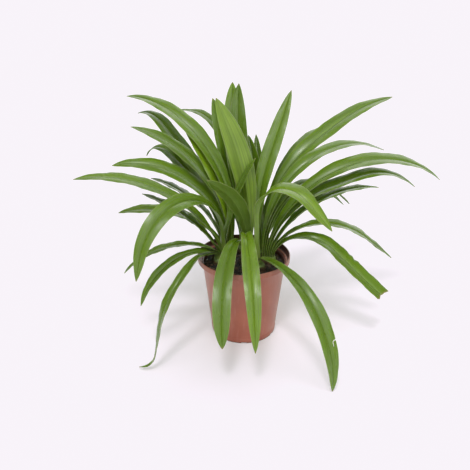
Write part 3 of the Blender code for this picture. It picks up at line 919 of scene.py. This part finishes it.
def leaf_material(name, roughness, old, grown, young, midrib, edge, foot):
    """Waxy leaf skin: its green goes from old to young, and veins, midrib, edge and foot are paler."""
    material, tree, shader = new_material(name)
    coordinates = add_node(tree, "ShaderNodeTexCoord")
    masks = add_node(tree, "ShaderNodeGroup", node_tree=leaf_masks)
    tree.links.new(coordinates.outputs["UV"], masks.inputs["Blade"])
    tree.links.new(coordinates.outputs["Object"], masks.inputs["Place"])
    tree.links.new(carried(tree, "grain"), masks.inputs["Grain"])
    age = carried(tree, "youth")
    colour = blend_colours(tree, ramp_between(tree, age, 0.0, 0.5), old, grown)
    colour = blend_colours(tree, ramp_between(tree, age, 0.4, 1.0), colour, young)
    for mask, share, paint in (
        ("Patches", 0.30, old), ("Stripes", 0.62, old), ("Veins", 0.58, young), ("Midrib", 0.40, midrib),
        ("Edge", 0.65, edge), ("Foot", 1.0, foot), ("Scars", 0.6, SCAR), ("Tip", 0.8, DRY_TIP),
    ):
        colour = blend_colours(tree, times(tree, masks.outputs[mask], share), colour, paint)
    gloss = plus(tree, roughness, times(tree, masks.outputs["Patches"], 0.08))
    gloss = plus(tree, gloss, times(tree, masks.outputs["Stripes"], 0.05))
    finish_shader(tree, shader, colour, gloss, masks.outputs["Relief"], 0.40, 0.0004)
    shader.inputs["Subsurface Weight"].default_value = 0.35
    shader.inputs["Specular IOR Level"].default_value = 0.50
    shader.inputs["Subsurface Radius"].default_value = (0.6, 1.0, 0.15)
    shader.inputs["Subsurface Scale"].default_value = 0.0022
    return material


blade_upper = leaf_material(
    "leaf_upper_skin", roughness=0.22,
    old=(0.016, 0.042, 0.003, 1.0), grown=(0.062, 0.124, 0.005, 1.0), young=(0.215, 0.340, 0.010, 1.0),
    midrib=(0.150, 0.230, 0.035, 1.0), edge=(0.210, 0.240, 0.085, 1.0), foot=(0.180, 0.260, 0.045, 1.0),
)
blade_under = leaf_material(
    "leaf_lower_skin", roughness=0.34,
    old=(0.026, 0.056, 0.006, 1.0), grown=(0.072, 0.130, 0.010, 1.0), young=(0.195, 0.300, 0.020, 1.0),
    midrib=(0.150, 0.220, 0.045, 1.0), edge=(0.220, 0.250, 0.095, 1.0), foot=(0.200, 0.270, 0.060, 1.0),
)

for bulb_name, bulb in BULBS.items():
    for index, leaf in enumerate(bulb.leaves):
        finish_blade(blade_skin(f"blade_{bulb_name}_{index + 1}", bulb, index), leaf)

# Bulb necks
# The necks of seven bulbs stand out of the mix. Each is a tight roll of leaf bases, pale green at the top
# and wrapped in the thin brown skins of dead leaves, which end in ragged edges.
BULB_RADIUS = 0.016
BULB_OVAL = 0.8
NECK_SIDES = 64
SKIN_THICKNESS = 0.0005
SLEEVE_SIDES = 72
OLD_FLESH = (0.130, 0.100, 0.050, 1.0)
GREEN_FLESH = (0.130, 0.190, 0.045, 1.0)
DARK_PAPER = (0.050, 0.026, 0.013, 1.0)
PALE_PAPER = (0.150, 0.090, 0.045, 1.0)
STRAND_TINT = (0.240, 0.180, 0.110, 1.0)


def bulb_neck_rings():
    """Outline of a neck from inside the mix up to the leaf bases, before it is squeezed to an oval."""
    return [
        (0.86 * BULB_RADIUS, SOIL_TOP - 0.030),
        (0.92 * BULB_RADIUS, SOIL_TOP - 0.016),
        (0.93 * BULB_RADIUS, SOIL_TOP - 0.006),
        (0.92 * BULB_RADIUS, SOIL_TOP),
        (0.90 * BULB_RADIUS, SOIL_TOP + 0.004),
        (0.86 * BULB_RADIUS, SOIL_TOP + 0.0075),
        (0.78 * BULB_RADIUS, SOIL_TOP + 0.0093),
        (0.60 * BULB_RADIUS, SOIL_TOP + 0.0098),
        (0.30 * BULB_RADIUS, SOIL_TOP + 0.0100),
        (0.02 * BULB_RADIUS, SOIL_TOP + 0.0100),
    ]


def papery_skin(name, radius, top, seed):
    """A thin dry sleeve round a neck, with a ragged upper edge that stands off here and there."""
    bpy.ops.object.select_all(action="DESELECT")
    bpy.ops.mesh.primitive_cylinder_add(
        vertices=SLEEVE_SIDES, radius=radius, depth=2.0, end_fill_type="NOTHING"
    )
    sleeve = bpy.context.object
    bpy.ops.object.mode_set(mode="EDIT")
    bpy.ops.mesh.select_mode(type="EDGE")
    bpy.ops.mesh.select_all(action="SELECT")
    bpy.ops.mesh.subdivide(number_cuts=5, quadcorner="INNERVERT")
    bpy.ops.object.mode_set(mode="OBJECT")
    tatter = random.Random(f"{name}{seed}")
    phases = [tatter.uniform(0.0, 6.28) for _ in range(4)]
    low = SOIL_TOP - 0.010
    for vertex in sleeve.data.vertices:
        share = 0.5 * (vertex.co.z + 1.0)
        angle = math.atan2(vertex.co.y, vertex.co.x)
        edge = 0.0026 * math.sin(angle + phases[0]) + 0.0012 * math.sin(3.0 * angle + phases[1])
        edge += 0.0007 * math.sin(11.0 * angle + phases[2]) + 0.0005 * math.sin(29.0 * angle + phases[3])
        flare = 1.0 + 0.05 * share ** 3 * (1.0 + math.sin(2.0 * angle + phases[1]))
        vertex.co.x *= flare
        vertex.co.y *= flare
        vertex.co.z = low + (top + edge - low) * share
    thicken(sleeve, SKIN_THICKNESS)
    return sleeve


sheath, sheath_tree, sheath_shader = new_material("bulb_sheath")
sheath_place = add_node(sheath_tree, "ShaderNodeTexCoord").outputs["Object"]
strands = noise(sheath_tree, sheath_place, 1.0, 4.0, (900.0, 900.0, 60.0))
stains = noise(sheath_tree, sheath_place, 160.0, 3.0)
neck_height = add_node(sheath_tree, "ShaderNodeSeparateXYZ", {0: sheath_place}).outputs["Z"]
ragged = plus(sheath_tree, neck_height, times(sheath_tree, strands, 0.006))
greener = ramp_between(sheath_tree, ragged, SOIL_TOP + 0.002, SOIL_TOP + 0.012)
flesh_colour = blend_colours(sheath_tree, greener, OLD_FLESH, GREEN_FLESH)
faded = ramp_between(sheath_tree, stains, 0.35, 0.65)
paper_colour = blend_colours(sheath_tree, faded, DARK_PAPER, PALE_PAPER)
sheath_colour = blend_colours(sheath_tree, carried(sheath_tree, "dry"), flesh_colour, paper_colour)
fibrous = times(sheath_tree, ramp_between(sheath_tree, strands, 0.35, 0.75), 0.55)
sheath_colour = blend_colours(sheath_tree, fibrous, sheath_colour, STRAND_TINT, "MULTIPLY")
sheath_roughness = plus(sheath_tree, 0.42, times(sheath_tree, strands, 0.30))
finish_shader(sheath_tree, sheath_shader, sheath_colour, sheath_roughness, strands, 0.6, 0.0005)

for bulb_name, bulb in BULBS.items():
    neck = ring_wall(f"neck_{bulb_name}", bulb_neck_rings(), NECK_SIDES)
    skins = [
        papery_skin(bulb_name, 0.99 * BULB_RADIUS, SOIL_TOP + 0.0078, 1),
        papery_skin(bulb_name, 1.06 * BULB_RADIUS, SOIL_TOP + 0.0045, 2),
    ]
    for part, dryness in ((neck, 0.0), (skins[0], 0.75), (skins[1], 1.0)):
        mark_points(part.data, "dry", dryness)
    bpy.ops.object.select_all(action="DESELECT")
    for part in (neck, *skins):
        part.select_set(True)
    bpy.context.view_layer.objects.active = neck
    bpy.ops.object.join()
    neck.data.transform(Matrix.Diagonal((1.0, BULB_OVAL, 1.0, 1.0)))
    neck.data.transform(Matrix.Rotation(math.radians(bulb.fan), 4, "Z"))
    neck.data.transform(Matrix.Translation((bulb.x, bulb.y, 0.0)))
    bpy.ops.object.shade_smooth_by_angle(angle=math.radians(60.0))
    neck.data.materials.append(sheath)
    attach(neck, "root")
    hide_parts(f"bulb_{bulb_name}")
